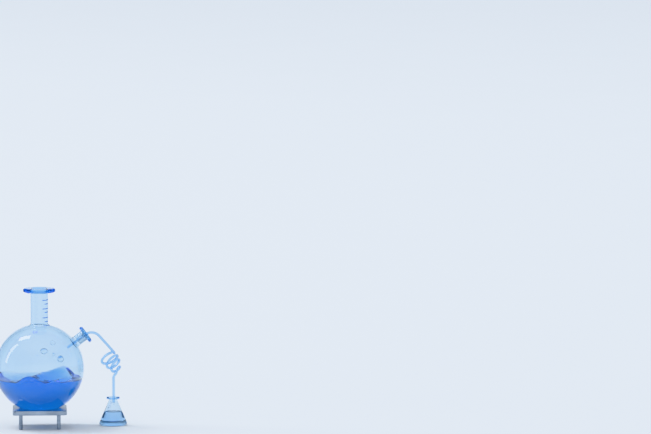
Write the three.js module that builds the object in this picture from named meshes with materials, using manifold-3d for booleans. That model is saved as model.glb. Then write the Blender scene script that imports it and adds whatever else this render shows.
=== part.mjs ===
// A small distilling set in glass: a round-bottomed flask of about one litre, half full of a blue
// liquid, sits in a steel trivet. Its open neck has a broad flat rim. A side neck is closed by a
// bored bung, and a thin glass tube runs out of it, over an arch, down through a narrowing coil
// and into a small conical flask that stands beside the trivet.
//
// Millimetres, +Z up. Sizes are given from the flask's own axis, with the ground at zero. The
// whole set is then moved along X, so that the origin is on the ground under the middle of its box.
import * as THREE from 'three';
import { mergeVertices } from 'three/addons/utils/BufferGeometryUtils.js';
import Module from 'manifold-3d';

const wasm = await Module();
wasm.setup();

const degrees = THREE.MathUtils.degToRad;

// What touching pieces keep between them
const GAP = 0.3;

// Round-bottomed flask. Each neck is fused to the bulb at a seam just above its fillet. Lengths
// and seams are from the middle of the bulb.
const BULB_RADIUS = 65.5;
const BULB_HEIGHT = 88;
const GLASS_WALL = 2;
const NECK = { radius: 12.7, bore: 10.9, fillet: 5, seam: 69, length: 118.8, rim: 24, rimThickness: 6.3 };

// Side neck: its axis runs out of the middle of the bulb, up by the rise and back by the turn.
// Its solid starts at the root, well inside the hollow of the bulb, which cuts it back.
const SIDE_NECK = { radius: 7.85, bore: 6.3, fillet: 4, seam: 69, length: 86.6, rim: 13.4, rimThickness: 5 };
const SIDE_ROOT = 52;
const SIDE_RISE = degrees(35.3);
const SIDE_TURN = degrees(8);

// Liquid in the bulb, swirling: its surface rises a little towards the back, and crests lie across
// the heading, at these distances from the flask's axis. The last one dies away towards the back,
// about this fast.
const LIQUID_LEVEL = 73;
const LIQUID_SLOPE = 0.03;
const CREST_HEADING = degrees(-25);
const CRESTS = [
  { at: -66, height: 6, half: 16 },
  { at: 12, height: 10.5, half: 25 },
  { at: 41.5, height: 4, half: 9, fade: 8 },
];
const CREST_STEP = 3;
const SWELL_STEPS = 18;

// Bung, measured along the side neck's axis from the middle of the bulb
const BUNG_INNER = 69;
const BUNG_RECESS = 0.6;

// Delivery tube. The tip and the arch's corner are measured along the side neck's axis, and the
// arch comes down to a point set off from the start of the coil.
const TUBE_RADIUS = 1.8;
const TUBE_BORE = 0.9;
const TUBE_TIP = 51;
const ARCH_CORNER = 98;
const ARCH_RADIUS = 15;
const ARCH_FOOT = new THREE.Vector3(-3, -6.5, 4.6);
const STEM_TOP = new THREE.Vector3(109.6, 19, 74.3);
const STEM_BEND = 5;
const STEM_TIP = 33.5;

// Its coil: the middle, radius, lean to the side and tilt to the back of the first turn and the last.
// The middle bows out on the way down, and the last turn sags into the stem.
const COIL = {
  turns: 3.36,
  start: degrees(-3),
  middle: [new THREE.Vector3(99.6, 10.3, 104), new THREE.Vector3(115.2, 16.7, 83.4)],
  bow: 1.7,
  radius: [12.2, 5.9],
  taper: 2,
  lean: [degrees(25), degrees(59)],
  tilt: [degrees(13.5), degrees(22.7)],
  sag: 8,
  sagPower: 12,
};
const COIL_STEPS_PER_TURN = 12;

// Conical flask: the stem hangs in the front of its mouth, so its middle is a little behind the stem
const CONE = { base: 21, wall: 1.2, corner: 3, neck: 6.3, neckFrom: 37, rim: 9.85, rimThickness: 3.4, height: 42.4 };
const CONE_PLACE = { x: 108.8, y: 21.4 };
const CONE_LIQUID_LEVEL = 19.5;

// Trivet
const PLATE_WIDTH = 80;
const PLATE_THICKNESS = 7;
const PLATE_CORNER = 6;
const PLATE_HOLE_RADIUS = 20;
const LEG_LENGTH = 22;
const LEG_RADIUS = 2.75;
const LEG_INSET = 28;
const FOOT_CHAMFER = 0.6;

// Facets
const AROUND_BULB = 48;
const AROUND_NECK = 24;
const BULB_RINGS = 20;
const RIM_STEPS = 6;
const TUBE_SIDES = 8;
const BORE_SIDES = 6;
const TUBE_STEPS = 150;

const MATERIALS = {
  glass: { color: 0xcfe4ff, roughness: 0.05, metalness: 0, transparent: true, opacity: 0.35 },
  liquid: { color: 0x2f6fd8, roughness: 0.1, metalness: 0 },
  bung: { color: 0xc9d8ea, roughness: 0.6, metalness: 0 },
  steel: { color: 0xa9b7c8, roughness: 0.35, metalness: 1 },
};

const UP = new THREE.Vector3(0, 0, 1);
const BULB_CENTRE = new THREE.Vector3(0, 0, BULB_HEIGHT);
const SIDE_AXIS = new THREE.Vector3(
  Math.cos(SIDE_RISE) * Math.cos(SIDE_TURN),
  Math.cos(SIDE_RISE) * Math.sin(SIDE_TURN),
  Math.sin(SIDE_RISE),
);
const PLATE_TOP = LEG_LENGTH + PLATE_THICKNESS;

// Points along an arc, angles in radians from the profile's outward direction
function arc(x, y, radius, from, to, steps) {
  const points = [];
  for (let i = 0; i <= steps; i += 1) {
    const angle = from + ((to - from) * i) / steps;
    points.push(new THREE.Vector2(x + radius * Math.cos(angle), y + radius * Math.sin(angle)));
  }
  return points;
}

function point(x, y) {
  return new THREE.Vector2(x, y);
}

// A profile of radius and height turned about the Z axis
function turned(profile, around) {
  const onAxis = profile.map((p) => new THREE.Vector2(Math.max(p.x, 0), p.y));
  return new THREE.LatheGeometry(onAxis, around).rotateX(Math.PI / 2);
}

// A closed geometry as a manifold solid, with doubled points joined and flat triangles dropped
function solid(geometry) {
  const bare = geometry.clone();
  bare.deleteAttribute('normal');
  bare.deleteAttribute('uv');
  const merged = mergeVertices(bare, 1e-4);
  const corners = merged.index.array;
  const triangles = [];
  for (let i = 0; i < corners.length; i += 3) {
    const [a, b, c] = [corners[i], corners[i + 1], corners[i + 2]];
    if (a !== b && b !== c && c !== a) triangles.push(a, b, c);
  }
  const vertProperties = Float32Array.from(merged.attributes.position.array);
  return new wasm.Manifold(new wasm.Mesh({ numProp: 3, vertProperties, triVerts: Uint32Array.from(triangles) }));
}

function geometryOf(manifold) {
  const mesh = manifold.getMesh();
  const geometry = new THREE.BufferGeometry();
  geometry.setAttribute('position', new THREE.BufferAttribute(Float32Array.from(mesh.vertProperties), 3));
  geometry.setIndex(new THREE.BufferAttribute(Uint32Array.from(mesh.triVerts), 1));
  geometry.computeVertexNormals();
  return geometry;
}

// Moves a geometry made along +Z so that it starts at the given point and runs along the direction
function aimed(geometry, start, direction) {
  const turn = new THREE.Quaternion().setFromUnitVectors(UP, direction);
  return geometry.applyQuaternion(turn).translate(start.x, start.y, start.z);
}

function piece(name, material, shape) {
  const mesh = new THREE.Mesh(geometryOf(shape), new THREE.MeshStandardMaterial(MATERIALS[material]));
  mesh.name = name;
  return mesh;
}

// A neck with its rim. The start is a function that gives the points below the fillet, up to the
// angle at which the fillet touches a sphere of the given radius. Heights are from its middle.
function neckProfile(neck, sphere, start) {
  const reach = sphere + neck.fillet;
  const filletX = neck.radius + neck.fillet;
  const filletY = Math.sqrt(reach ** 2 - filletX ** 2);
  const touch = Math.atan2(filletY, filletX);
  const round = neck.rimThickness / 2;
  return [
    ...start(touch),
    ...arc(filletX, filletY, neck.fillet, Math.PI + touch, Math.PI, 4),
    point(neck.radius, neck.length - neck.rimThickness),
    ...arc(neck.rim - round, neck.length - round, round, -Math.PI / 2, Math.PI / 2, RIM_STEPS),
    point(0, neck.length),
  ];
}

// The ball of the bulb, of any radius, always with the same facets
function ball(radius) {
  const profile = arc(0, 0, radius, -Math.PI / 2, Math.PI / 2, BULB_RINGS);
  return turned(profile, AROUND_BULB).translate(0, 0, BULB_HEIGHT);
}

function boilingFlask() {
  const outerBall = (touch) => [
    ...arc(0, 0, BULB_RADIUS, -Math.PI / 2, 0, BULB_RINGS / 2),
    ...arc(0, 0, BULB_RADIUS, 0, touch, BULB_RINGS / 2 - 1).slice(1, -1),
  ];
  const outer = turned(neckProfile(NECK, BULB_RADIUS, outerBall), AROUND_BULB).translate(0, 0, BULB_HEIGHT);

  // The side neck's fillet starts just under the bulb's surface, so that the two surfaces cross
  const buried = BULB_RADIUS - GLASS_WALL / 4;
  const root = (touch) => [point(0, SIDE_ROOT), point(buried * Math.cos(touch), SIDE_ROOT)];
  const side = aimed(turned(neckProfile(SIDE_NECK, buried, root), AROUND_NECK), BULB_CENTRE, SIDE_AXIS);

  const boreTop = NECK.length + GAP;
  const bore = [point(0, 0), point(NECK.bore, 0), point(NECK.bore, boreTop), point(0, boreTop)];
  const sideTop = SIDE_NECK.length + GAP;
  const sideBore = [point(0, 0), point(SIDE_NECK.bore, 0), point(SIDE_NECK.bore, sideTop), point(0, sideTop)];

  return solid(outer)
    .add(solid(side))
    .subtract(solid(ball(BULB_RADIUS - GLASS_WALL)))
    .subtract(solid(turned(bore, AROUND_BULB).translate(0, 0, BULB_HEIGHT)))
    .subtract(solid(aimed(turned(sideBore, AROUND_NECK), BULB_CENTRE, SIDE_AXIS)));
}

// What is left of a solid beyond a plane across the axis, at this distance from the middle of the bulb
function beyond(shape, axis, distance) {
  return shape.trimByPlane(axis.toArray(), BULB_CENTRE.dot(axis) + distance);
}

function before(shape, axis, distance) {
  return shape.trimByPlane(axis.clone().negate().toArray(), -BULB_CENTRE.dot(axis) - distance);
}

function flaskParts() {
  const flask = boilingFlask();
  const below = before(flask, UP, NECK.seam - GAP / 2);
  return {
    bulb: before(below, SIDE_AXIS, SIDE_NECK.seam - GAP / 2),
    neck: beyond(flask, UP, NECK.seam + GAP / 2),
    sideNeck: beyond(below, SIDE_AXIS, SIDE_NECK.seam + GAP / 2),
  };
}

function surfaceHeight(x, y) {
  const across = x * Math.cos(CREST_HEADING) + y * Math.sin(CREST_HEADING);
  return CRESTS.reduce((height, crest) => {
    const off = Math.min(Math.abs(across - crest.at) / crest.half, 1);
    const share = crest.fade ? 1 / (1 + Math.exp(y / crest.fade)) : 1;
    return height + (share * crest.height * (1 + Math.cos(Math.PI * off))) / 2;
  }, LIQUID_LEVEL + LIQUID_SLOPE * y);
}

// The liquid fills the ball of the bulb up to the swirling surface. The strips of that surface run
// along the crests.
function flaskLiquid() {
  const reach = BULB_RADIUS + CREST_STEP;
  const outline = new THREE.Shape();
  outline.moveTo(reach, 0);
  for (let across = reach; across >= -reach; across -= CREST_STEP) {
    outline.lineTo(across, LIQUID_LEVEL);
  }
  outline.lineTo(-reach, 0);
  const swell = new THREE.ExtrudeGeometry(outline, { depth: 2 * reach, steps: SWELL_STEPS, bevelEnabled: false })
    .translate(0, 0, -reach)
    .rotateX(Math.PI / 2)
    .rotateZ(CREST_HEADING);
  const corners = swell.attributes.position;
  for (let i = 0; i < corners.count; i += 1) {
    if (corners.getZ(i) > LIQUID_LEVEL / 2) {
      corners.setZ(i, surfaceHeight(corners.getX(i), corners.getY(i)));
    }
  }
  return solid(ball(BULB_RADIUS - GLASS_WALL - GAP)).intersect(solid(swell));
}

function sideBung() {
  const outer = SIDE_NECK.length - BUNG_RECESS;
  const radius = SIDE_NECK.bore - GAP;
  const hole = (TUBE_RADIUS + GAP) / Math.cos(Math.PI / AROUND_NECK);
  const profile = [
    point(hole, BUNG_INNER),
    point(radius, BUNG_INNER),
    point(radius, outer),
    point(hole, outer),
    point(hole, BUNG_INNER),
  ];
  return solid(aimed(turned(profile, AROUND_NECK), BULB_CENTRE, SIDE_AXIS));
}

// Rounds the corner between two straight runs
function roundedCorner(before, corner, after, radius, steps) {
  const toBefore = before.clone().sub(corner).normalize();
  const toAfter = after.clone().sub(corner).normalize();
  const half = toBefore.angleTo(toAfter) / 2;
  const middle = toBefore.clone().add(toAfter).normalize().multiplyScalar(radius / Math.sin(half)).add(corner);
  const start = toBefore.clone().multiplyScalar(radius / Math.tan(half)).add(corner).sub(middle);
  const end = toAfter.clone().multiplyScalar(radius / Math.tan(half)).add(corner).sub(middle);
  const sweep = start.angleTo(end);
  const points = [];
  for (let i = 0; i <= steps; i += 1) {
    const t = i / steps;
    const from = start.clone().multiplyScalar(Math.sin((1 - t) * sweep));
    const to = end.clone().multiplyScalar(Math.sin(t * sweep));
    points.push(from.add(to).divideScalar(Math.sin(sweep)).add(middle));
  }
  return points;
}

// The turns start to the right, go down by way of the back, and lean over more and more
function coilPoints() {
  const { lerp } = THREE.MathUtils;
  const steps = Math.round(COIL.turns * COIL_STEPS_PER_TURN);
  const points = [];
  for (let i = 0; i <= steps; i += 1) {
    const t = i / steps;
    const lean = lerp(...COIL.lean, t);
    const tilt = lerp(...COIL.tilt, t);
    const side = Math.cos(tilt);
    const down = new THREE.Vector3(side * Math.sin(lean), Math.sin(tilt), -side * Math.cos(lean));
    const right = new THREE.Vector3(1, 0, 0).addScaledVector(down, -down.x).normalize();
    const back = right.clone().cross(down);
    const angle = COIL.start + 2 * Math.PI * COIL.turns * t;
    const radius = lerp(...COIL.radius, t ** COIL.taper);
    const shift = new THREE.Vector3(4 * COIL.bow * t * (1 - t), 0, -COIL.sag * t ** COIL.sagPower);
    points.push(
      COIL.middle[0].clone()
        .lerp(COIL.middle[1], t)
        .add(shift)
        .addScaledVector(right, radius * Math.cos(angle))
        .addScaledVector(back, radius * Math.sin(angle)),
    );
  }
  return points;
}

function tubeRoute() {
  const along = (distance) => BULB_CENTRE.clone().addScaledVector(SIDE_AXIS, distance);
  const bungPass = [along(TUBE_TIP), along(BUNG_INNER), along((BUNG_INNER + SIDE_NECK.length) / 2)];
  const coil = coilPoints();
  const archFoot = coil[0].clone().add(ARCH_FOOT);
  const arch = roundedCorner(along(TUBE_TIP), along(ARCH_CORNER), archFoot, ARCH_RADIUS, 10);
  const tip = STEM_TOP.clone().setZ(STEM_TIP);
  const bend = roundedCorner(coil.at(-1), STEM_TOP, tip, STEM_BEND, 5);
  const stem = [1, 2, 3].map((third) => bend.at(-1).clone().lerp(tip, third / 3));
  return new THREE.CatmullRomCurve3([...bungPass, ...arch, archFoot, ...coil, ...bend, ...stem], false, 'centripetal');
}

function polygon(radius, sides) {
  const corners = [];
  for (let i = 0; i < sides; i += 1) {
    const angle = (2 * Math.PI * i) / sides;
    corners.push(point(radius * Math.cos(angle), radius * Math.sin(angle)));
  }
  return corners;
}

function deliveryTube() {
  const section = new THREE.Shape(polygon(TUBE_RADIUS, TUBE_SIDES));
  section.holes.push(new THREE.Path(polygon(TUBE_BORE, BORE_SIDES)));
  const route = tubeRoute();
  route.arcLengthDivisions = 2000;
  return solid(new THREE.ExtrudeGeometry(section, { steps: TUBE_STEPS, bevelEnabled: false, extrudePath: route }));
}

// The cone's slanting side as radius over height, moved in by the given distance
function coneRadius(height, inwards) {
  const slope = (CONE.base - CONE.neck) / (CONE.neckFrom - CONE.corner);
  return CONE.base - (height - CONE.corner) * slope - inwards * Math.hypot(1, slope);
}

// The rounded edge at the cone's foot, moved in by the given distance, from the side down to the floor
function coneFoot(inwards) {
  const round = CONE.corner - inwards;
  return arc(coneRadius(CONE.corner, inwards) - round, CONE.corner, round, 0, -Math.PI / 2, 3);
}

function conicalFlask() {
  const round = CONE.rimThickness / 2;
  const inside = CONE.neck - CONE.wall;
  const outline = [
    point(0, 0),
    ...coneFoot(0).reverse(),
    point(CONE.neck, CONE.neckFrom),
    point(CONE.neck, CONE.height - CONE.rimThickness),
    ...arc(CONE.rim - round, CONE.height - round, round, -Math.PI / 2, Math.PI / 2, RIM_STEPS),
    point(inside, CONE.height),
    point(inside, CONE.neckFrom),
    ...coneFoot(CONE.wall),
    point(0, CONE.wall),
  ];
  return solid(turned(outline, AROUND_NECK).translate(CONE_PLACE.x, CONE_PLACE.y, 0));
}

function coneLiquid() {
  const away = CONE.wall + GAP;
  const outline = [
    point(0, away),
    ...coneFoot(away).reverse(),
    point(coneRadius(CONE_LIQUID_LEVEL, away), CONE_LIQUID_LEVEL),
    point(0, CONE_LIQUID_LEVEL),
  ];
  return solid(turned(outline, AROUND_NECK).translate(CONE_PLACE.x, CONE_PLACE.y, 0));
}

// A square plate whose round hole is hollowed at the top to the shape of the bulb
function trivetPlate() {
  const half = PLATE_WIDTH / 2;
  const straight = half - PLATE_CORNER;
  const outline = new THREE.Shape();
  outline.absarc(straight, straight, PLATE_CORNER, 0, Math.PI / 2);
  outline.absarc(-straight, straight, PLATE_CORNER, Math.PI / 2, Math.PI);
  outline.absarc(-straight, -straight, PLATE_CORNER, Math.PI, 1.5 * Math.PI);
  outline.absarc(straight, -straight, PLATE_CORNER, 1.5 * Math.PI, 2 * Math.PI);
  const slab = new THREE.ExtrudeGeometry(outline, {
    depth: PLATE_THICKNESS,
    bevelEnabled: false,
    curveSegments: 5,
  }).translate(0, 0, LEG_LENGTH);
  const hole = [
    point(0, LEG_LENGTH - GAP),
    point(PLATE_HOLE_RADIUS, LEG_LENGTH - GAP),
    point(PLATE_HOLE_RADIUS, PLATE_TOP + GAP),
    point(0, PLATE_TOP + GAP),
  ];
  return solid(slab).subtract(solid(turned(hole, AROUND_BULB))).subtract(solid(ball(BULB_RADIUS + GAP)));
}

function trivetLeg() {
  const top = LEG_LENGTH - GAP;
  const profile = [
    point(0, 0),
    point(LEG_RADIUS - FOOT_CHAMFER, 0),
    point(LEG_RADIUS, FOOT_CHAMFER),
    point(LEG_RADIUS, top),
    point(0, top),
  ];
  return solid(turned(profile, AROUND_NECK / 2));
}

const apparatus = new THREE.Group();
apparatus.name = 'distilling_set';
const flask = flaskParts();
apparatus.add(piece('flask_bulb', 'glass', flask.bulb));
apparatus.add(piece('flask_neck', 'glass', flask.neck));
apparatus.add(piece('flask_side_neck', 'glass', flask.sideNeck));
apparatus.add(piece('flask_liquid', 'liquid', flaskLiquid()));
apparatus.add(piece('side_bung', 'bung', sideBung()));
apparatus.add(piece('delivery_tube', 'glass', deliveryTube()));
apparatus.add(piece('receiver_glass', 'glass', conicalFlask()));
apparatus.add(piece('receiver_liquid', 'liquid', coneLiquid()));
apparatus.add(piece('trivet_plate', 'steel', trivetPlate()));

const legSides = [[-1, -1], [1, -1], [1, 1], [-1, 1]];
legSides.forEach(([x, y], index) => {
  const leg = piece(`trivet_leg_${index + 1}`, 'steel', trivetLeg());
  leg.position.set(x * LEG_INSET, y * LEG_INSET, 0);
  apparatus.add(leg);
});

// From the flask's axis to the middle between the bulb's side and the conical flask's base
const leftReach = -BULB_RADIUS;
const rightReach = CONE_PLACE.x + CONE.base;
apparatus.position.x = -(leftReach + rightReach) / 2;
apparatus.updateMatrixWorld(true);

export default apparatus;
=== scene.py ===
import math

import bpy
import numpy as np
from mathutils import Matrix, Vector
from mathutils.geometry import delaunay_2d_cdt


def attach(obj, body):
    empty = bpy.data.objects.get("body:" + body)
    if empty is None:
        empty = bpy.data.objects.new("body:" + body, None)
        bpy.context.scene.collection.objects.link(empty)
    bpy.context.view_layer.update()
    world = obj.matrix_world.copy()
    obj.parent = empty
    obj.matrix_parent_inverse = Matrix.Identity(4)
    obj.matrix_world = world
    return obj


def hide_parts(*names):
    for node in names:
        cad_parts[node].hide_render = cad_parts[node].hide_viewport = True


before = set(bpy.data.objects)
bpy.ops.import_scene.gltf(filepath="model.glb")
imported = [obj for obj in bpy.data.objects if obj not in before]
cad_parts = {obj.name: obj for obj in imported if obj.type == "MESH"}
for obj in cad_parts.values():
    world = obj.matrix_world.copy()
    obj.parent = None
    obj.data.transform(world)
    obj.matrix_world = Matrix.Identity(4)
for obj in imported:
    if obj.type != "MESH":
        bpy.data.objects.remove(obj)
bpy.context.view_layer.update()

# Sizes in millimetres from the flask's own axis, with the ground at zero, as in the part's source
MM = 0.001
AXIS_X = -32.15

BULB_RADIUS = 65.5
BULB_HEIGHT = 88.0
GLASS_WALL = 2.0
NECK = dict(radius=12.7, bore=10.9, fillet=5.0, length=118.8,
            rim=24.0, thickness=6.3, heel=1.6, mouth=1.4)
SIDE_NECK = dict(radius=7.85, bore=6.3, fillet=4.0, length=86.6,
                 rim=13.4, thickness=5.0, heel=1.0, mouth=0.9)
SIDE_RISE = math.radians(35.3)
SIDE_TURN = math.radians(8)

# Each crest has its place along the heading, its height, its half width and, where it dies away
# towards the back, over how far it does so
LIQUID_LEVEL = 73.0
LIQUID_SLOPE = 0.03
CREST_HEADING = math.radians(-25)
CRESTS = [(-66, 6, 16, None), (12, 10.5, 25, None), (41.5, 4, 9, 8.0)]

# Small ripples on the crests: heading, wavelength, height and start
RIPPLES = [(-0.10, 21.0, 0.34, 0.4), (-0.95, 15.5, 0.22, 2.1), (0.75, 12.0, 0.13, 4.0)]

BUNG_INNER = 69.0
BUNG_RECESS = 0.6

TUBE_RADIUS = 1.8
TUBE_BORE = 0.9
TUBE_TIP = 51.0
ARCH_CORNER = 98.0
ARCH_RADIUS = 15.0
ARCH_FOOT = np.array([-3, -6.5, 4.6])
STEM_TOP = np.array([109.6, 19, 74.3])
STEM_BEND = 5.0
STEM_TIP = 33.5
COIL = dict(turns=3.36, start=math.radians(-3),
            first=np.array([99.6, 10.3, 104]), last=np.array([115.2, 16.7, 83.4]),
            bow=1.7, radius=(12.2, 5.9), taper=2.0,
            lean=(25, 59), tilt=(13.5, 22.7), sag=8.0, sag_power=12)

CONE = dict(base=21.0, wall=1.2, corner=3.0, neck=6.3, neck_from=37.0,
            rim=9.85, thickness=3.4, height=42.4)
CONE_SLOPE = (CONE["base"] - CONE["neck"]) / (CONE["neck_from"] - CONE["corner"])
CONE_TILT = math.atan2(CONE["base"] - CONE["neck"], CONE["neck_from"] - CONE["corner"])
CONE_PLACE = (108.8, 21.4)
CONE_LIQUID_LEVEL = 19.5

PLATE_WIDTH = 80.0
PLATE_THICKNESS = 7.0
PLATE_CORNER = 6.0
PLATE_HOLE_RADIUS = 20.0
LEG_LENGTH = 22.0
LEG_RADIUS = 2.75
LEG_INSET = 28.0

# How far liquid reaches into the glass that wets it, so that no air shows between them
WETTING = 0.25

# How far the bung is pressed into the glass that it touches, for the same reason
PRESSED = 0.12

# How high both liquids climb the glass at their brim
CREEP = 1.0

# The picture's frame, where the flask's axis meets the ground in it, how many millimetres one of its
# columns spans, and how many rows a millimetre spans upward and backward
PICTURE_WIDTH, PICTURE_HEIGHT = 651.0, 434.0
AXIS_COLUMN = 39.8
GROUND_ROW = 427.17
MM_PER_COLUMN = 1.48
ROWS_UP = 0.6706
ROWS_BACK = 0.0823

# The blue that light takes on in the flasks' glass and in the tube's
GLASS_TINT = (0.15, 0.66, 0.985)
TUBE_TINT = (0.15, 0.64, 0.985)

UP = np.array([0.0, 0.0, 1.0])
BULB_CENTRE = np.array([0.0, 0.0, BULB_HEIGHT])
SIDE_AXIS = np.array([
    math.cos(SIDE_RISE) * math.cos(SIDE_TURN),
    math.cos(SIDE_RISE) * math.sin(SIDE_TURN),
    math.sin(SIDE_RISE),
])


# Camera, light and floor

def add_camera():
    """The view of the picture: from the front, 7 degrees up, with the flask near the left edge."""
    lens, sensor, span = 300.0, 36.0, 0.9635
    elevation = math.radians(7)
    a = (AXIS_COLUMN - PICTURE_WIDTH / 2) / PICTURE_WIDTH * sensor / lens
    b = -(GROUND_ROW - PICTURE_HEIGHT / 2) / PICTURE_WIDTH * sensor / lens
    slant = math.sqrt(1 + a * a + b * b)
    pitch = math.atan(b) + math.asin(slant * math.sin(elevation) / math.sqrt(1 + b * b))
    yaw = math.atan2(a, b * math.sin(pitch) + math.cos(pitch))
    distance = lens / sensor * span * slant
    data = bpy.data.cameras.new("camera")
    data.lens, data.sensor_width = lens, sensor
    data.clip_start, data.clip_end = 0.1, 200
    camera = bpy.data.objects.new("camera", data)
    camera.location = (AXIS_X * MM, -distance * math.cos(elevation), distance * math.sin(elevation))
    camera.rotation_euler = (math.pi / 2 - pitch, 0, yaw)
    bpy.context.scene.collection.objects.link(camera)
    bpy.context.scene.camera = camera


def add_lamp(name, direction, distance, size, radiance):
    """A soft rectangular lamp that faces the bulb; its radiance sets how bright its gleams are."""
    toward = Vector(direction).normalized()
    data = bpy.data.lights.new(name, "AREA")
    data.shape = "RECTANGLE"
    data.size, data.size_y = size
    data.energy = radiance * math.pi * size[0] * size[1]
    lamp = bpy.data.objects.new(name, data)
    lamp.location = Vector((AXIS_X * MM, 0, BULB_HEIGHT * MM)) + toward * distance
    lamp.rotation_euler = toward.to_track_quat("Z", "Y").to_euler()
    lamp.visible_camera = False
    bpy.context.scene.collection.objects.link(lamp)


def add_sky():
    world = bpy.data.worlds.new("studio")
    bpy.context.scene.world = world
    world.use_nodes = True
    tree = world.node_tree
    background = tree.nodes["Background"]
    coordinates = tree.nodes.new("ShaderNodeTexCoord")
    parts = tree.nodes.new("ShaderNodeSeparateXYZ")
    ramp = tree.nodes.new("ShaderNodeValToRGB")
    tree.links.new(coordinates.outputs["Generated"], parts.inputs[0])
    tree.links.new(parts.outputs["Z"], ramp.inputs[0])
    tree.links.new(ramp.outputs[0], background.inputs["Color"])
    stops = [(0.0, (0.86, 0.91, 0.97)), (0.10, (0.86, 0.91, 0.97)), (0.35, (0.46, 0.53, 0.63)),
             (0.65, (0.56, 0.62, 0.71)), (0.9, (0.95, 0.98, 1.0))]
    elements = ramp.color_ramp.elements
    elements[0].position, elements[0].color = stops[0][0], (*stops[0][1], 1)
    elements[1].position, elements[1].color = stops[-1][0], (*stops[-1][1], 1)
    for place, colour in stops[1:-1]:
        elements.new(place).color = (*colour, 1)
    background.inputs["Strength"].default_value = 1.1


def add_flags(material):
    """Four dark cards that stand round the set, as in any studio for glass. Only reflections
    pick them up: they cast no shade on the floor."""
    reach, half, foot, high = 0.55, math.radians(22), 0.004, 0.62
    for index in range(4):
        middle = math.pi / 4 + index * math.pi / 2
        turns = np.linspace(middle - half, middle + half, 9)
        low = [(reach * math.cos(a), reach * math.sin(a), foot) for a in turns]
        top = [(x, y, high) for x, y, _ in low]
        count = len(turns)
        mesh = bpy.data.meshes.new(f"flag_{index + 1}")
        faces = [(i, i + 1, i + 1 + count, i + count) for i in range(count - 1)]
        mesh.from_pydata(low + top, [], faces)
        mesh.materials.append(material)
        flag = bpy.data.objects.new(f"flag_{index + 1}", mesh)
        flag.visible_camera = flag.visible_diffuse = False
        flag.visible_shadow = flag.visible_transmission = False
        bpy.context.scene.collection.objects.link(flag)


def add_floor(material):
    half = 60.0
    corners = [(-half, -half, 0), (half, -half, 0), (half, half, 0), (-half, half, 0)]
    mesh = bpy.data.meshes.new("floor")
    mesh.from_pydata(corners, [], [(0, 1, 2, 3)])
    floor = bpy.data.objects.new("floor", mesh)
    mesh.materials.append(material)
    bpy.context.scene.collection.objects.link(floor)


# Materials

def new_material(name):
    material = bpy.data.materials.new(name)
    material.use_nodes = True
    tree = material.node_tree
    return material, tree, tree.nodes["Principled BSDF"]


def noise(tree, scale, detail=2.0, stretch=(1, 1, 1), roughness=0.5):
    """Noise over the object's own coordinates, in features per metre."""
    coordinates = tree.nodes.new("ShaderNodeTexCoord")
    mapping = tree.nodes.new("ShaderNodeMapping")
    mapping.inputs["Scale"].default_value = stretch
    texture = tree.nodes.new("ShaderNodeTexNoise")
    texture.inputs["Scale"].default_value = scale
    texture.inputs["Detail"].default_value = detail
    texture.inputs["Roughness"].default_value = roughness
    tree.links.new(coordinates.outputs["Object"], mapping.inputs[0])
    tree.links.new(mapping.outputs[0], texture.inputs["Vector"])
    return texture.outputs["Fac"]


def ranged(tree, value, low, high, start=0.0, end=1.0):
    spread = tree.nodes.new("ShaderNodeMapRange")
    tree.links.new(value, spread.inputs["Value"])
    spread.inputs["From Min"].default_value, spread.inputs["From Max"].default_value = start, end
    spread.inputs["To Min"].default_value, spread.inputs["To Max"].default_value = low, high
    return spread.outputs["Result"]


def bump(tree, shader, height, distance, strength):
    relief = tree.nodes.new("ShaderNodeBump")
    relief.inputs["Distance"].default_value = distance
    relief.inputs["Strength"].default_value = strength
    tree.links.new(height, relief.inputs["Height"])
    tree.links.new(relief.outputs[0], shader.inputs["Normal"])


def absorb(tree, colour, density):
    """Colours what light loses on its way through, the more the farther it goes."""
    volume = tree.nodes.new("ShaderNodeVolumeAbsorption")
    volume.inputs["Color"].default_value = (*colour, 1)
    volume.inputs["Density"].default_value = density
    tree.links.new(volume.outputs[0], tree.nodes["Material Output"].inputs["Volume"])


def glass_material(name, colour, tint, density):
    """Glass with a blue tint that gathers in its edges, slightly wavy from blowing."""
    material, tree, shader = new_material(name)
    shader.inputs["Base Color"].default_value = (*colour, 1)
    shader.inputs["Transmission Weight"].default_value = 1.0
    shader.inputs["IOR"].default_value = 1.47
    smudge = ranged(tree, noise(tree, 28, 4.0), 0.0, 0.03, 0.45, 0.85)
    tree.links.new(smudge, shader.inputs["Roughness"])
    bump(tree, shader, noise(tree, 34, 1.0), 0.00012, 0.35)
    absorb(tree, tint, density)
    return material


def liquid_material(name, colour, density):
    material, tree, shader = new_material(name)
    shader.inputs["Base Color"].default_value = (1, 1, 1, 1)
    shader.inputs["Transmission Weight"].default_value = 1.0
    shader.inputs["IOR"].default_value = 1.333
    shader.inputs["Roughness"].default_value = 0.0
    bump(tree, shader, noise(tree, 55, 1.0), 0.00006, 0.3)
    absorb(tree, colour, density)
    return material


def silicone_material():
    """Translucent rubber, faintly milky, with a matt skin and a slight mottle."""
    material, tree, shader = new_material("silicone")
    shader.inputs["Transmission Weight"].default_value = 0.9
    shader.inputs["IOR"].default_value = 1.41
    mottle = noise(tree, 420, 3.0)
    ramp = tree.nodes.new("ShaderNodeValToRGB")
    ramp.color_ramp.elements[0].color = (0.90, 0.95, 0.99, 1)
    ramp.color_ramp.elements[1].color = (0.95, 0.98, 1.0, 1)
    tree.links.new(mottle, ramp.inputs[0])
    tree.links.new(ramp.outputs[0], shader.inputs["Base Color"])
    tree.links.new(ranged(tree, mottle, 0.10, 0.26), shader.inputs["Roughness"])
    bump(tree, shader, noise(tree, 2600, 2.0), 0.00004, 0.4)
    absorb(tree, (0.45, 0.75, 0.97), 30)
    return material


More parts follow.
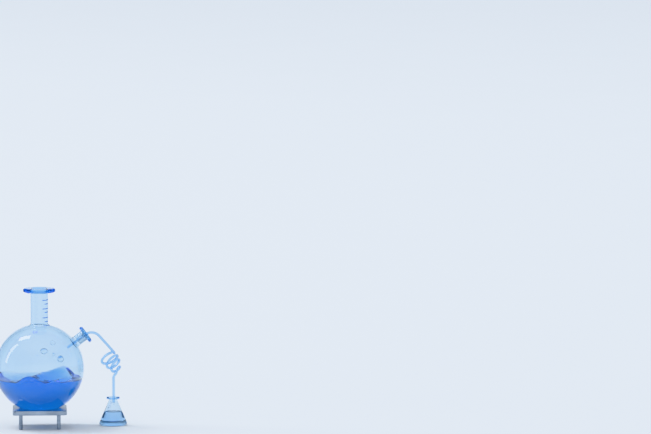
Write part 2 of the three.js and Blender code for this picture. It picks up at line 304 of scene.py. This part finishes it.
def steel_material():
    """Brushed along X, with longer soft stains and a fine grain."""
    material, tree, shader = new_material("brushed_steel")
    shader.inputs["Metallic"].default_value = 1.0
    shader.inputs["Anisotropic"].default_value = 0.5
    grain = noise(tree, 900, 3.0, (0.03, 1, 1), 0.6)
    stain = noise(tree, 24, 4.0)
    mix = tree.nodes.new("ShaderNodeMix")
    mix.data_type = "RGBA"
    mix.inputs["A"].default_value = (0.26, 0.31, 0.38, 1)
    mix.inputs["B"].default_value = (0.40, 0.46, 0.54, 1)
    tree.links.new(ranged(tree, stain, 0.0, 1.0, 0.35, 0.65), mix.inputs["Factor"])
    tree.links.new(mix.outputs["Result"], shader.inputs["Base Color"])
    tree.links.new(ranged(tree, grain, 0.16, 0.36, 0.3, 0.7), shader.inputs["Roughness"])
    bump(tree, shader, grain, 0.00003, 0.6)
    return material


def enamel_material():
    material, tree, shader = new_material("enamel")
    shader.inputs["Base Color"].default_value = (0.10, 0.30, 0.85, 1)
    speck = noise(tree, 1800, 2.0)
    tree.links.new(ranged(tree, speck, 0.25, 0.5), shader.inputs["Roughness"])
    bump(tree, shader, speck, 0.00003, 0.5)
    return material


def flag_material():
    material, _, shader = new_material("flag")
    shader.inputs["Base Color"].default_value = (0.15, 0.18, 0.24, 1)
    shader.inputs["Roughness"].default_value = 0.9
    return material


def floor_material():
    material, tree, shader = new_material("floor")
    tone = tree.nodes.new("ShaderNodeValToRGB")
    tone.color_ramp.elements[0].color = (0.86, 0.885, 0.92, 1)
    tone.color_ramp.elements[1].color = (0.88, 0.905, 0.94, 1)
    tree.links.new(noise(tree, 3, 3.0), tone.inputs[0])
    tree.links.new(tone.outputs[0], shader.inputs["Base Color"])
    shader.inputs["Roughness"].default_value = 0.9
    shader.inputs["Specular IOR Level"].default_value = 0.1
    return material


# Meshes

def make(name, points, faces, material, replaces=(), normals=None, sharp=()):
    """A piece of the set from millimetres. Sharp holds pairs of points whose edges stay crisp."""
    mesh = bpy.data.meshes.new(name)
    places = (np.asarray(points, float) + (AXIS_X, 0, 0)) * MM
    mesh.from_pydata(places.tolist(), [], faces)
    mesh.polygons.foreach_set("use_smooth", [True] * len(mesh.polygons))
    if len(sharp):
        crisp = {tuple(sorted(pair)) for pair in sharp}
        flags = [tuple(sorted(edge.vertices)) in crisp for edge in mesh.edges]
        mesh.attributes.new("sharp_edge", "BOOLEAN", "EDGE").data.foreach_set("value", flags)
    if normals is not None:
        mesh.normals_split_custom_set_from_vertices(np.asarray(normals).tolist())
    mesh.update()
    mesh.materials.append(material)
    piece = bpy.data.objects.new(name, mesh)
    bpy.context.scene.collection.objects.link(piece)
    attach(piece, "root")
    if replaces:
        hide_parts(*replaces)


def arc(x, y, radius, start, end, steps, side=1):
    """Rows of radius, height and normal along an arc; side -1 turns the normals to its middle."""
    angle = np.linspace(start, end, steps + 1)
    c, s = np.cos(angle), np.sin(angle)
    return np.column_stack([x + radius * c, y + radius * s, side * c, side * s])


def basis(axis):
    """Two directions across an axis; for the upright one they are X and Y."""
    right = np.array([1.0, 0, 0]) if axis[2] > 0.99 else np.cross(axis, UP)
    right = right - axis * (right @ axis)
    right /= np.linalg.norm(right)
    return right, np.cross(axis, right)


def turned(profile, around, axis=UP, start=BULB_CENTRE):
    """Turns rows of radius, height and normal about an axis. Rows on the axis become one point."""
    right, front = basis(axis)
    angle = np.arange(around) * 2 * math.pi / around
    spokes = np.outer(np.cos(angle), right) + np.outer(np.sin(angle), front)
    points, normals, rings = [], [], []
    for radius, height, out, rise in profile:
        count = 1 if radius < 1e-6 else around
        rings.append(range(len(points), len(points) + count))
        points.extend(start + axis * height + radius * spokes[:count])
        normals.extend(axis * rise + out * spokes[:count] if count > 1 else [axis * np.sign(rise)])
    return np.array(points), np.array(normals), strip(rings)


def between(low, high):
    """Faces between two rings of points, either of which may be one point."""
    count = max(len(low), len(high))
    if min(len(low), len(high)) == count == 1:
        return []
    if len(low) == 1:
        return [(low[0], high[(i + 1) % count], high[i]) for i in range(count)]
    if len(high) == 1:
        return [(low[i], low[(i + 1) % count], high[0]) for i in range(count)]
    return [(low[i], low[(i + 1) % count], high[(i + 1) % count], high[i]) for i in range(count)]


def strip(rings, closed=False):
    """Faces along a run of rings, each joined to the next and, where closed, the last to the first."""
    faces = []
    for low, high in zip(rings, rings[1:] + rings[:1] if closed else rings[1:]):
        faces.extend(between(low, high))
    return faces


def weld(parts):
    """Joins meshes of points, normals and faces where their points meet; each face turns outward."""
    points = np.concatenate([p for p, _, _ in parts])
    normals = np.concatenate([n for _, n, _ in parts])
    _, first, which = np.unique(np.round(points, 4), axis=0, return_index=True, return_inverse=True)
    which = which.reshape(-1)
    points, summed = points[first], np.zeros((len(first), 3))
    np.add.at(summed, which, normals)
    normals = summed / np.linalg.norm(summed, axis=1)[:, None]
    faces, offset = [], 0
    for part_points, _, part_faces in parts:
        for face in part_faces:
            corners = [int(which[i + offset]) for i in face]
            p = points[corners]
            facing = np.cross(p[1] - p[0], p[2] - p[0]) @ normals[corners].sum(0)
            faces.append(tuple(corners if facing > 0 else corners[::-1]))
        offset += len(part_points)
    return points, normals, faces


def fillet_place(sphere, cylinder, fillet):
    """The middle of the round between a ball and a tube, and the angle where it meets the ball."""
    x = cylinder + fillet
    y = math.sqrt((sphere + fillet) ** 2 - x * x)
    return x, y, math.atan2(y, x)


def neck_walls(neck):
    """From the bulb's outside up the neck, over its rim and down the bore to the bulb's inside."""
    ox, oy, outer = fillet_place(BULB_RADIUS, neck["radius"], neck["fillet"])
    ix, iy, inner = fillet_place(BULB_RADIUS - GLASS_WALL, neck["bore"], neck["fillet"] + GLASS_WALL)
    top, heel, mouth = neck["length"], neck["heel"], neck["mouth"]
    round_ = neck["thickness"] / 2
    under = top - neck["thickness"]
    pi = math.pi
    return np.concatenate([
        arc(ox, oy, neck["fillet"], pi + outer, pi, 14, -1),
        arc(neck["radius"] + heel, under - heel, heel, pi, pi / 2, 8, -1),
        arc(neck["rim"] - round_, top - round_, round_, -pi / 2, pi / 2, 24),
        arc(neck["bore"] + mouth, top - mouth, mouth, pi / 2, pi, 10),
        arc(ix, iy, neck["fillet"] + GLASS_WALL, pi, pi + inner, 14),
    ]), outer, inner


def ball_skin(radius, holes, spacing, facing):
    """A ball's skin with round holes, each given by an axis, a latitude and a count of edge points."""
    hexagonal, clearance = 0.866, 0.6
    count = int(4 * math.pi * radius ** 2 / (hexagonal * spacing ** 2))
    step = np.arange(count)
    z = 1 - (2 * step + 1) / count
    turn = step * math.pi * (3 - math.sqrt(5))
    flat = np.sqrt(1 - z * z)
    skin = np.column_stack([flat * np.cos(turn), flat * np.sin(turn), z])
    rims = []
    for axis, latitude, around in holes:
        off_axis = np.arccos(np.clip(skin @ axis, -1, 1))
        skin = skin[off_axis > math.pi / 2 - latitude + clearance * spacing / radius]
        edge = [(radius * math.cos(latitude), radius * math.sin(latitude), 0, 1)]
        rims.append((turned(edge, around, axis)[0] - BULB_CENTRE) / radius)
    skin = np.concatenate([skin, *rims])
    flat_map = skin[:, :2] / (1 - skin[:, 2:])
    found = delaunay_2d_cdt(flat_map.tolist(), [], [], 0, 1e-9)
    source = [origin[0] for origin in found[3]]
    last = len(skin) - len(rims[-1])
    faces = [tuple(source[i] for i in face) for face in found[2]]
    faces = [face for face in faces if min(face) < last]
    return BULB_CENTRE + radius * skin, facing * skin, faces


# The boiling flask

def boiling_flask(glass):
    """Bulb and both necks in one skin, even in its walls and round at every edge."""
    around, side_around, spacing = 112, 72, 2.0
    walls, outer, inner = neck_walls(NECK)
    side_walls, side_outer, side_inner = neck_walls(SIDE_NECK)
    outer_holes = [(UP, outer, around), (SIDE_AXIS, side_outer, side_around)]
    inner_holes = [(UP, inner, around), (SIDE_AXIS, side_inner, side_around)]
    outside = ball_skin(BULB_RADIUS, outer_holes, spacing, 1)
    inside = ball_skin(BULB_RADIUS - GLASS_WALL, inner_holes, spacing, -1)
    necks = [turned(walls, around), turned(side_walls, side_around, SIDE_AXIS)]
    points, normals, faces = weld([outside, inside, *necks])
    make("boiling_flask", points, faces, glass,
         ["flask_bulb", "flask_neck", "flask_side_neck"], normals)


def surface_height(x, y):
    """The swirling surface: crests lie across the heading, and small ripples run over them, away
    from the glass."""
    across = x * math.cos(CREST_HEADING) + y * math.sin(CREST_HEADING)
    height = LIQUID_LEVEL + LIQUID_SLOPE * y
    for at, rise, half, fade in CRESTS:
        off = min(abs(across - at) / half, 1)
        share = 1 / (1 + math.exp(y / fade)) if fade else 1
        height += share * rise * (1 + math.cos(math.pi * off)) / 2
    still = min(math.hypot(x, y) / BULB_RADIUS, 1) ** 6
    for heading, length, rise, start in RIPPLES:
        along = x * math.cos(heading) + y * math.sin(heading)
        height += (1 - still) * rise * math.sin(2 * math.pi * along / length + start)
    return height


def flask_liquid(material):
    """Fills the bulb up to the ripples, and creeps up the glass in a meniscus."""
    around, steps, meniscus_reach = 160, 48, 1.25
    radius = BULB_RADIUS - GLASS_WALL + WETTING
    angles = np.arange(around) * 2 * math.pi / around
    brims = []
    for angle in angles:
        far = radius
        for _ in range(30):
            top = surface_height(far * math.cos(angle), far * math.sin(angle)) + CREEP
            far = 0.5 * far + 0.5 * math.sqrt(radius ** 2 - (top - BULB_HEIGHT) ** 2)
        brims.append((far, top))
    points, rings = [(0, 0, BULB_HEIGHT - radius)], [range(0, 1)]
    for step in range(1, steps + 1):
        rings.append(range(len(points), len(points) + around))
        for angle, (far, top) in zip(angles, brims):
            brim = math.atan2(top - BULB_HEIGHT, far)
            latitude = -math.pi / 2 + (brim + math.pi / 2) * step / steps
            out = radius * math.cos(latitude)
            height = BULB_HEIGHT + radius * math.sin(latitude)
            points.append((out * math.cos(angle), out * math.sin(angle), height))
    brim_ring = rings[-1]
    # Steps from the brim, close together at the glass, out of 60 to the middle
    for inward in [0.12, 0.3, 0.55, 0.85, 1.25, 1.8, 2.5, 3.5, 5.0, *np.linspace(7, 58, 34)]:
        rings.append(range(len(points), len(points) + around))
        for angle, (far, _) in zip(angles, brims):
            out = far * (1 - inward / 60)
            x, y = out * math.cos(angle), out * math.sin(angle)
            rise = CREEP * math.exp(-(far - out) / meniscus_reach)
            points.append((x, y, surface_height(x, y) + rise))
    rings.append(range(len(points), len(points) + 1))
    points.append((0, 0, surface_height(0, 0)))
    crisp = [(brim_ring[i], brim_ring[(i + 1) % around]) for i in range(around)]
    make("blue_liquid", points, strip(rings), material, ["flask_liquid"], sharp=crisp)


def neck_skin(drop, out):
    """Radius and height on the neck's outside, so far down the skin from where its flare begins."""
    x, y, _ = fillet_place(BULB_RADIUS, NECK["radius"], NECK["fillet"])
    turn = max(drop, 0) / NECK["fillet"]
    middle_height = BULB_HEIGHT + y
    reach = NECK["fillet"] - out
    return x - reach * math.cos(turn), middle_height - reach * math.sin(turn) - min(drop, 0)


def graduations(enamel):
    """Seven fired marks on the side of the neck, long and short in turn, each slightly raised."""
    rows = [300.6, 304.5, 309.2, 312.7, 318.0, 322.0, 325.7]
    half, raised, sunk, narrow = 0.62, 0.14, 0.05, 0.8
    first, long_last, short_last = math.radians(-8), math.radians(68), math.radians(52)
    # The marks are on the near side of the neck, which shows this many rows below its axis
    nearness = 0.58
    flare_height = BULB_HEIGHT + fillet_place(BULB_RADIUS, NECK["radius"], NECK["fillet"])[1]
    for index, row in enumerate(rows):
        below = flare_height - (GROUND_ROW - row + nearness) / ROWS_UP
        drop = NECK["fillet"] * math.asin(below / NECK["fillet"]) if below > 0 else below
        lengthwise = np.linspace(first, long_last if index % 2 == 0 else short_last, 40)
        section = [(-half, -sunk), (-half * narrow, raised), (half * narrow, raised), (half, -sunk)]
        points, rings = [], []
        for step, angle in enumerate(lengthwise):
            pinch = 0.55 if step in (0, len(lengthwise) - 1) else 1.0
            rings.append(range(len(points), len(points) + 4))
            for up, out in section:
                far, height = neck_skin(drop - up * pinch, out)
                points.append((far * math.cos(angle), -far * math.sin(angle), height))
        faces = [tuple(reversed(rings[0])), tuple(rings[-1]), *strip(rings)]
        make(f"graduation_{index + 1}", points, faces, enamel)


def side_bung(material):
    """A bored bung, a little round at its edges, pressed tight into the side neck and onto the tube."""
    outer = SIDE_NECK["length"] - BUNG_RECESS
    radius, hole, edge = SIDE_NECK["bore"] + PRESSED, TUBE_RADIUS - PRESSED, 0.7
    pi = math.pi
    profile = np.concatenate([
        arc(radius - edge, BUNG_INNER + edge, edge, -pi / 2, 0, 6),
        arc(radius - edge, outer - edge, edge, 0, pi / 2, 6),
        arc(hole + edge, outer - edge, edge, pi / 2, pi, 6),
        arc(hole + edge, BUNG_INNER + edge, edge, pi, 1.5 * pi, 6),
    ])
    profile = np.concatenate([profile, profile[:1]])
    points, normals, faces = weld([turned(profile, 64, SIDE_AXIS)])
    make("bung", points, faces, material, ["side_bung"], normals)


# The delivery tube

def rounded_corner(before, corner, after, radius, steps):
    to_before = (before - corner) / np.linalg.norm(before - corner)
    to_after = (after - corner) / np.linalg.norm(after - corner)
    half = math.acos(to_before @ to_after) / 2
    middle = to_before + to_after
    middle = corner + middle / np.linalg.norm(middle) * radius / math.sin(half)
    start = corner + to_before * radius / math.tan(half) - middle
    end = corner + to_after * radius / math.tan(half) - middle
    sweep = math.acos(start @ end / radius ** 2)
    points = []
    for i in range(steps + 1):
        from_start, from_end = math.sin((1 - i / steps) * sweep), math.sin(i / steps * sweep)
        points.append(middle + (start * from_start + end * from_end) / math.sin(sweep))
    return points


def mix(pair, share):
    return pair[0] + (pair[1] - pair[0]) * share


def coil_points():
    """The turns start to the right, go down by way of the back, and lean over more and more."""
    steps_per_turn = 12
    steps = round(COIL["turns"] * steps_per_turn)
    points = []
    for t in np.linspace(0, 1, steps + 1):
        lean, tilt = math.radians(mix(COIL["lean"], t)), math.radians(mix(COIL["tilt"], t))
        side = math.cos(tilt)
        down = np.array([side * math.sin(lean), math.sin(tilt), -side * math.cos(lean)])
        right = np.array([1.0, 0, 0]) - down * down[0]
        right /= np.linalg.norm(right)
        back = np.cross(right, down)
        angle = COIL["start"] + 2 * math.pi * COIL["turns"] * t
        radius = mix(COIL["radius"], t ** COIL["taper"])
        middle = mix((COIL["first"], COIL["last"]), t)
        middle = middle + (4 * COIL["bow"] * t * (1 - t), 0, -COIL["sag"] * t ** COIL["sag_power"])
        points.append(middle + right * radius * math.cos(angle) + back * radius * math.sin(angle))
    return points


def smooth_path(knots, spacing):
    """An even path through the knots on a centripetal spline, eased where its bend changes."""
    fineness, easings = 40, 10
    knots = np.array(knots)
    knots = np.concatenate([[2 * knots[0] - knots[1]], knots, [2 * knots[-1] - knots[-2]]])
    dense = []
    for a, b, c, d in zip(knots, knots[1:], knots[2:], knots[3:]):
        t = np.cumsum([0, *(np.linalg.norm(q - p) ** 0.5 for p, q in ((a, b), (b, c), (c, d)))])
        for u in np.linspace(t[1], t[2], fineness, endpoint=False):
            ab = (a * (t[1] - u) + b * (u - t[0])) / (t[1] - t[0])
            bc = (b * (t[2] - u) + c * (u - t[1])) / (t[2] - t[1])
            cd = (c * (t[3] - u) + d * (u - t[2])) / (t[3] - t[2])
            abc = (ab * (t[2] - u) + bc * (u - t[0])) / (t[2] - t[0])
            bcd = (bc * (t[3] - u) + cd * (u - t[1])) / (t[3] - t[1])
            dense.append((abc * (t[2] - u) + bcd * (u - t[1])) / (t[2] - t[1]))
    dense = np.array([*dense, knots[-2]])
    length = np.concatenate([[0], np.cumsum(np.linalg.norm(np.diff(dense, axis=0), axis=1))])
    even = np.linspace(0, length[-1], int(length[-1] / spacing) + 1)
    path = np.column_stack([np.interp(even, length, dense[:, k]) for k in range(3)])
    for _ in range(easings):
        path[1:-1] += (path[:-2] + path[2:] - 2 * path[1:-1]) / 4
    return path


def tube_route():
    """From inside the bulb through the bung, over the arch, down the coil and into the stem."""
    spacing = 0.6

    def along(distance):
        return BULB_CENTRE + SIDE_AXIS * distance

    bung_pass = [along(TUBE_TIP), along(BUNG_INNER), along((BUNG_INNER + SIDE_NECK["length"]) / 2)]
    coil = coil_points()
    arch_foot = coil[0] + ARCH_FOOT
    arch = rounded_corner(along(TUBE_TIP), along(ARCH_CORNER), arch_foot, ARCH_RADIUS, 10)
    tip = np.array([STEM_TOP[0], STEM_TOP[1], STEM_TIP])
    bend = rounded_corner(coil[-1], STEM_TOP, tip, STEM_BEND, 5)
    stem = [bend[-1] + (tip - bend[-1]) * third / 3 for third in (1, 2, 3)]
    return smooth_path([*bung_pass, *arch, arch_foot, *coil, *bend, *stem], spacing)


def carried_frames(path):
    """A direction across the path at each point, carried along it without twist."""
    tangents = np.gradient(path, axis=0)
    tangents /= np.linalg.norm(tangents, axis=1)[:, None]
    side = basis(tangents[0])[0]
    sides = []
    for tangent in tangents:
        side = side - tangent * (side @ tangent)
        side /= np.linalg.norm(side)
        sides.append(side)
    sides = np.array(sides)
    return tangents, sides, np.cross(tangents, sides)


def delivery_tube(glass):
    """A hollow tube with melted-round ends."""
    around = 28
    path = tube_route()
    tangents, sides, fronts = carried_frames(path)
    middle, half = (TUBE_RADIUS + TUBE_BORE) / 2, (TUBE_RADIUS - TUBE_BORE) / 2
    angle = np.arange(around) * 2 * math.pi / around
    last = len(path) - 1
    stations = [(i, TUBE_RADIUS, 0.0) for i in range(1, last)]
    turn = np.linspace(0, math.pi, 9)
    stations += [(last, middle + half * math.cos(t), half * math.sin(t) - half) for t in turn]
    stations += [(i, TUBE_BORE, 0.0) for i in range(last - 1, 0, -1)]
    stations += [(0, middle - half * math.cos(t), half - half * math.sin(t)) for t in turn]
    points = []
    for i, radius, ahead in stations:
        spokes = np.outer(np.cos(angle), sides[i]) + np.outer(np.sin(angle), fronts[i])
        points.extend(path[i] + tangents[i] * ahead + radius * spokes)
    rings = [range(k * around, (k + 1) * around) for k in range(len(stations))]
    faces = strip(rings, closed=True)
    make("delivery_tube_glass", points, faces, glass, ["delivery_tube"])


# The conical flask

def cone_radius(height, inwards):
    """How far the slanting wall is from the axis, or a skin that lies so far inside it."""
    return CONE["base"] - (height - CONE["corner"]) * CONE_SLOPE - inwards * math.hypot(1, CONE_SLOPE)


def cone_turned(profile, around=96):
    return turned(profile, around, UP, np.array([*CONE_PLACE, 0.0]))


def conical_flask(glass):
    """One skin: foot, slope and shoulder outside, over the rim, and the same again inside."""
    pi = math.pi
    wall, neck, top, foot = CONE["wall"], CONE["neck"], CONE["height"], CONE["corner"]
    shoulder = 5.0
    inner_shoulder = shoulder + wall
    heel, mouth, punt = 0.7, 0.55, 0.5

    def run(offset, at_neck, bend, corner):
        """Where the foot's round and the shoulder's have their middles, for one skin."""
        foot_middle = cone_radius(foot, offset) - corner / math.cos(CONE_TILT)
        bend_middle = at_neck + bend
        apart = foot_middle + (corner + bend) / math.cos(CONE_TILT) - bend_middle
        return foot_middle, bend_middle, foot + apart / math.tan(CONE_TILT)

    foot_x, bend_x, bend_z = run(0, neck, shoulder, foot)
    in_foot_x, in_bend_x, in_bend_z = run(wall, neck - wall, inner_shoulder, foot - wall)
    rim, round_ = CONE["rim"], CONE["thickness"] / 2
    profile = np.concatenate([
        [(0, punt, 0, -1), (8, punt * 0.75, 0.05, -1), (14, punt * 0.15, 0.06, -1)],
        arc(foot_x, foot, foot, -pi / 2, CONE_TILT, 10),
        arc(bend_x, bend_z, shoulder, pi + CONE_TILT, pi, 12, -1),
        arc(neck + heel, top - CONE["thickness"] - heel, heel, pi, pi / 2, 6, -1),
        arc(rim - round_, top - round_, round_, -pi / 2, pi / 2, 16),
        arc(neck - wall + mouth, top - mouth, mouth, pi / 2, pi, 8),
        arc(in_bend_x, in_bend_z, inner_shoulder, pi, pi + CONE_TILT, 12),
        arc(in_foot_x, foot, foot - wall, CONE_TILT, -pi / 2, 10, -1),
        [(14, wall + punt * 0.15, -0.06, 1), (8, wall + punt * 0.75, -0.05, 1), (0, wall + punt, 0, 1)],
    ])
    points, normals, faces = weld([cone_turned(profile)])
    make("conical_flask", points, faces, glass, ["receiver_glass"], normals)


def cone_liquid(material):
    """The distillate, flat but for the meniscus that climbs the slanting wall."""
    inwards, around = CONE["wall"] - WETTING, 96
    corner = CONE["corner"] - inwards
    foot_x = cone_radius(CONE["corner"], inwards) - corner / math.cos(CONE_TILT)
    level, meniscus_reach = CONE_LIQUID_LEVEL, 0.9
    brim = cone_radius(level + CREEP, inwards)
    floor = [(0, 0.5), (8, 0.37), (14, 0.08)]
    away = [0.1, 0.25, 0.45, 0.7, 1.0, 1.4, 2.0, 2.8, 4.0, 6.0, 9.0]
    top = [(brim - a, level + CREEP * math.exp(-a / meniscus_reach), 0, 1) for a in away]
    profile = np.concatenate([
        [(out, inwards + rise, 0, -1) for out, rise in floor],
        arc(foot_x, CONE["corner"], corner, -math.pi / 2, CONE_TILT, 10),
        [(cone_radius(z, inwards), z, 1, 0) for z in np.linspace(6, level + CREEP - 1, 8)],
        [(brim, level + CREEP, 1, 0)],
        top,
        [(0, level, 0, 1)],
    ])
    points, _, faces = cone_turned(profile, around)
    start = 1 + around * (len(profile) - len(top) - 3)
    crisp = [(start + i, start + (i + 1) % around) for i in range(around)]
    make("distillate", points, faces, material, ["receiver_liquid"], sharp=crisp)


# Drops

def wall_drop(name, centre, normal, radius, thickness, stretch, material):
    """A drop that clings to glass, fuller below. The normal points out of the glass."""
    around, rings_count = 40, 12
    sunk, flatness, roundness, fullness = WETTING * 1.6, 2.4, 0.75, 0.22
    normal = normal / np.linalg.norm(normal)
    right = np.cross(UP, normal)
    right /= np.linalg.norm(right)
    up = np.cross(normal, right)
    angles = np.arange(around) * 2 * math.pi / around
    outline = [right * math.cos(a) + up * stretch * math.sin(a) for a in angles]
    points, rings = [centre - normal * sunk], [range(0, 1)]
    for t in [k / rings_count for k in range(1, rings_count + 1)]:
        rings.append(range(len(points), len(points) + around))
        points.extend(centre + radius * t * spoke - normal * sunk for spoke in outline)
    for t in [k / rings_count for k in range(rings_count - 1, 0, -1)]:
        rise = thickness * (1 - t ** flatness) ** roundness
        rings.append(range(len(points), len(points) + around))
        for a, spoke in zip(angles, outline):
            belly = 1 + fullness * -math.sin(a) * t
            points.append(centre + radius * t * spoke + normal * rise * belly)
    rings.append(range(len(points), len(points) + 1))
    points.append(centre + normal * thickness)
    make(name, points, strip(rings), material)


def seen_at(column, row, y):
    """The x and z of what the picture shows at a column and row, where it lies at depth y."""
    return (column - AXIS_COLUMN) * MM_PER_COLUMN, (GROUND_ROW - row - ROWS_BACK * y) / ROWS_UP


def bulb_drops(material):
    """Condensed drops on the inside of the bulb's front, above the liquid."""
    inside, fatness = BULB_RADIUS - GLASS_WALL, 0.75
    seen = [(44.2, 352.0, 5.6, 0.82), (52.8, 344.0, 4.2, 1.0),
            (53.7, 355.4, 2.5, 1.0), (60.3, 359.7, 5.4, 0.95)]
    for index, (column, row, radius, stretch) in enumerate(seen):
        y = -inside
        for _ in range(12):
            x, z = seen_at(column, row, y)
            z -= BULB_HEIGHT
            y = -math.sqrt(inside ** 2 - x * x - z * z)
        spot = np.array([x, y, z])
        name = f"bulb_drop_{index + 1}"
        wall_drop(name, BULB_CENTRE + spot, -spot, radius, radius * fatness, stretch, material)


def cone_drops(material):
    """Three small drops that have run down the inside of the conical flask's front."""
    fatness, stretch = 0.8, 1.25
    seen = [(111.0, 403.0, 1.5), (109.9, 407.0, 1.3), (108.7, 408.8, 1.1)]
    for index, (column, row, radius) in enumerate(seen):
        x, z = seen_at(column, row, 0)[0] - CONE_PLACE[0], 30.0
        for _ in range(12):
            y = -math.sqrt(cone_radius(z, CONE["wall"]) ** 2 - x * x)
            z = seen_at(column, row, CONE_PLACE[1] + y)[1]
        inward = np.array([-x, -y, -CONE_SLOPE * math.hypot(x, y)])
        spot = np.array([CONE_PLACE[0] + x, CONE_PLACE[1] + y, z])
        wall_drop(f"cone_drop_{index + 1}", spot, inward, radius, radius * fatness, stretch, material)


def hanging_drop(material):
    """The next drop, swelling at the tip of the stem."""
    size, length, narrowing, hang, closed = 1.75, 1.12, 0.10, 1.1, 0.86
    profile = []
    for t in np.linspace(0, 1, 22):
        angle = -math.pi / 2 + t * math.pi * closed
        radius = size * math.cos(angle) * (1 - narrowing * (math.sin(angle) + 1))
        height = STEM_TIP - hang + size * math.sin(angle) * length
        profile.append((max(radius, 0), height, 0, -1 if t < 0.5 else 1))
    profile.append((0, profile[-1][1], 0, 1))
    points, _, faces = turned(np.array(profile), 40, UP, np.array([STEM_TOP[0], STEM_TOP[1], 0.0]))
    make("stem_drop", points, faces, material)


# The trivet

def rounded_square(half, corner, per_corner=14, per_side=12):
    """Points round a square with round corners, always as many, whatever its size."""
    outline = []
    straight = half - corner
    for quarter in range(4):
        start = quarter * math.pi / 2
        c, s = math.cos(start), math.sin(start)
        for t in np.linspace(0, math.pi / 2, per_corner, endpoint=False):
            x, y = straight + corner * math.cos(t), straight + corner * math.sin(t)
            outline.append((x * c - y * s, x * s + y * c))
        for t in np.linspace(0, 1, per_side, endpoint=False):
            x, y = straight - 2 * straight * t, straight + corner
            outline.append((x * c - y * s, x * s + y * c))
    return np.array(outline)


def trivet_plate(steel):
    """A square plate with eased edges, hollowed round its hole to the shape of the bulb."""
    half, low, high = PLATE_WIDTH / 2, LEG_LENGTH, LEG_LENGTH + PLATE_THICKNESS
    ease, margin, brink, clearance = 0.8, 0.6, 0.5, 0.04
    seat = BULB_RADIUS + clearance
    seat_out = math.sqrt(seat ** 2 - (BULB_HEIGHT - high) ** 2)
    seat_low = BULB_HEIGHT - math.sqrt(seat ** 2 - PLATE_HOLE_RADIUS ** 2)
    template = rounded_square(half, PLATE_CORNER)
    angle = np.arctan2(template[:, 1], template[:, 0])
    count = len(template)

    def square(inset, z):
        return np.column_stack([rounded_square(half - inset, PLATE_CORNER - inset), np.full(count, z)])

    def circle(radius, z):
        return np.column_stack([radius * np.cos(angle), radius * np.sin(angle), np.full(count, z)])

    loops = []
    for t in np.linspace(0, math.pi / 2, 6):
        loops.append(square(ease * (1 - math.sin(t)), low + ease * (1 - math.cos(t))))
    for t in np.linspace(0, math.pi / 2, 6):
        loops.append(square(ease * (1 - math.cos(t)), high - ease * (1 - math.sin(t))))
    loops.append(square(ease + margin, high))
    # From the top face over the brink, down the bowl that the bulb sits in, and through the hole
    for out, drop in [(0.8 + brink, 0), (brink, 0), (brink * 0.45, 0.06)]:
        loops.append(circle(seat_out + out, high - drop))
    for out in np.linspace(seat_out - 0.1, PLATE_HOLE_RADIUS + 0.5, 10):
        loops.append(circle(out, BULB_HEIGHT - math.sqrt(seat ** 2 - out ** 2)))
    for out, drop in [(0.12, 0.12), (0, 0.5)]:
        loops.append(circle(PLATE_HOLE_RADIUS + out, seat_low - drop))
    for out, rise in [(0, 0.6), (0.15, 0.15), (0.6, 0), (1.4, 0)]:
        loops.append(circle(PLATE_HOLE_RADIUS + out, low + rise))
    loops.append(square(ease + margin, low))
    points = np.concatenate(loops)
    rings = [range(k * count, (k + 1) * count) for k in range(len(loops))]
    make("trivet_top", points, strip(rings, closed=True), steel, ["trivet_plate"])


def trivet_legs(steel):
    """Round legs, each with an eased foot and a small bead of weld under the plate."""
    pi = math.pi
    ease, bead, bead_height, top = 0.6, 1.3, 20.55, LEG_LENGTH + 0.05
    profile = np.concatenate([
        [(0, 0, 0, -1), (1.6, 0, 0, -1)],
        arc(LEG_RADIUS - ease, ease, ease, -pi / 2, 0, 5),
        [(LEG_RADIUS, 1.6, 1, 0), (LEG_RADIUS, 19.2, 1, 0)],
        arc(LEG_RADIUS + bead, bead_height, bead, pi, pi / 2 + 0.25, 6, -1),
        [(LEG_RADIUS + 1.25, top, 1, 0), (0, top, 0, 1)],
    ])
    corners = [(-1, -1), (1, -1), (1, 1), (-1, 1)]
    for index, (x, y) in enumerate(corners):
        place = np.array([x * LEG_INSET, y * LEG_INSET, 0.0])
        points, _, faces = turned(profile, 40, UP, place)
        make(f"trivet_post_{index + 1}", points, faces, steel, [f"trivet_leg_{index + 1}"])


def build():
    add_camera()
    add_sky()
    add_lamp("overhead", (-0.43, 0.26, 0.87), 20.0, (3.52, 7.08), 14)
    add_lamp("left_strip", (-0.86, 0.17, 0.46), 20.0, (2.16, 14.0), 10)
    add_floor(floor_material())
    add_flags(flag_material())
    glass = glass_material("clear_glass", (0.94, 0.975, 0.999), GLASS_TINT, 85)
    tubing = glass_material("tube_glass", (0.86, 0.94, 0.998), TUBE_TINT, 300)
    blue = liquid_material("blue_liquid", (0.12, 0.63, 0.95), 33)
    pale = liquid_material("pale_liquid", (0.35, 0.70, 0.98), 26)
    steel = steel_material()
    boiling_flask(glass)
    flask_liquid(blue)
    graduations(enamel_material())
    side_bung(silicone_material())
    delivery_tube(tubing)
    conical_flask(glass)
    cone_liquid(pale)
    bulb_drops(pale)
    cone_drops(pale)
    hanging_drop(pale)
    trivet_plate(steel)
    trivet_legs(steel)
    bpy.context.scene.view_settings.view_transform = "Khronos PBR Neutral"
    cycles = bpy.context.scene.cycles
    cycles.max_bounces = 24
    cycles.transmission_bounces = 24
    cycles.glossy_bounces = 12


build()
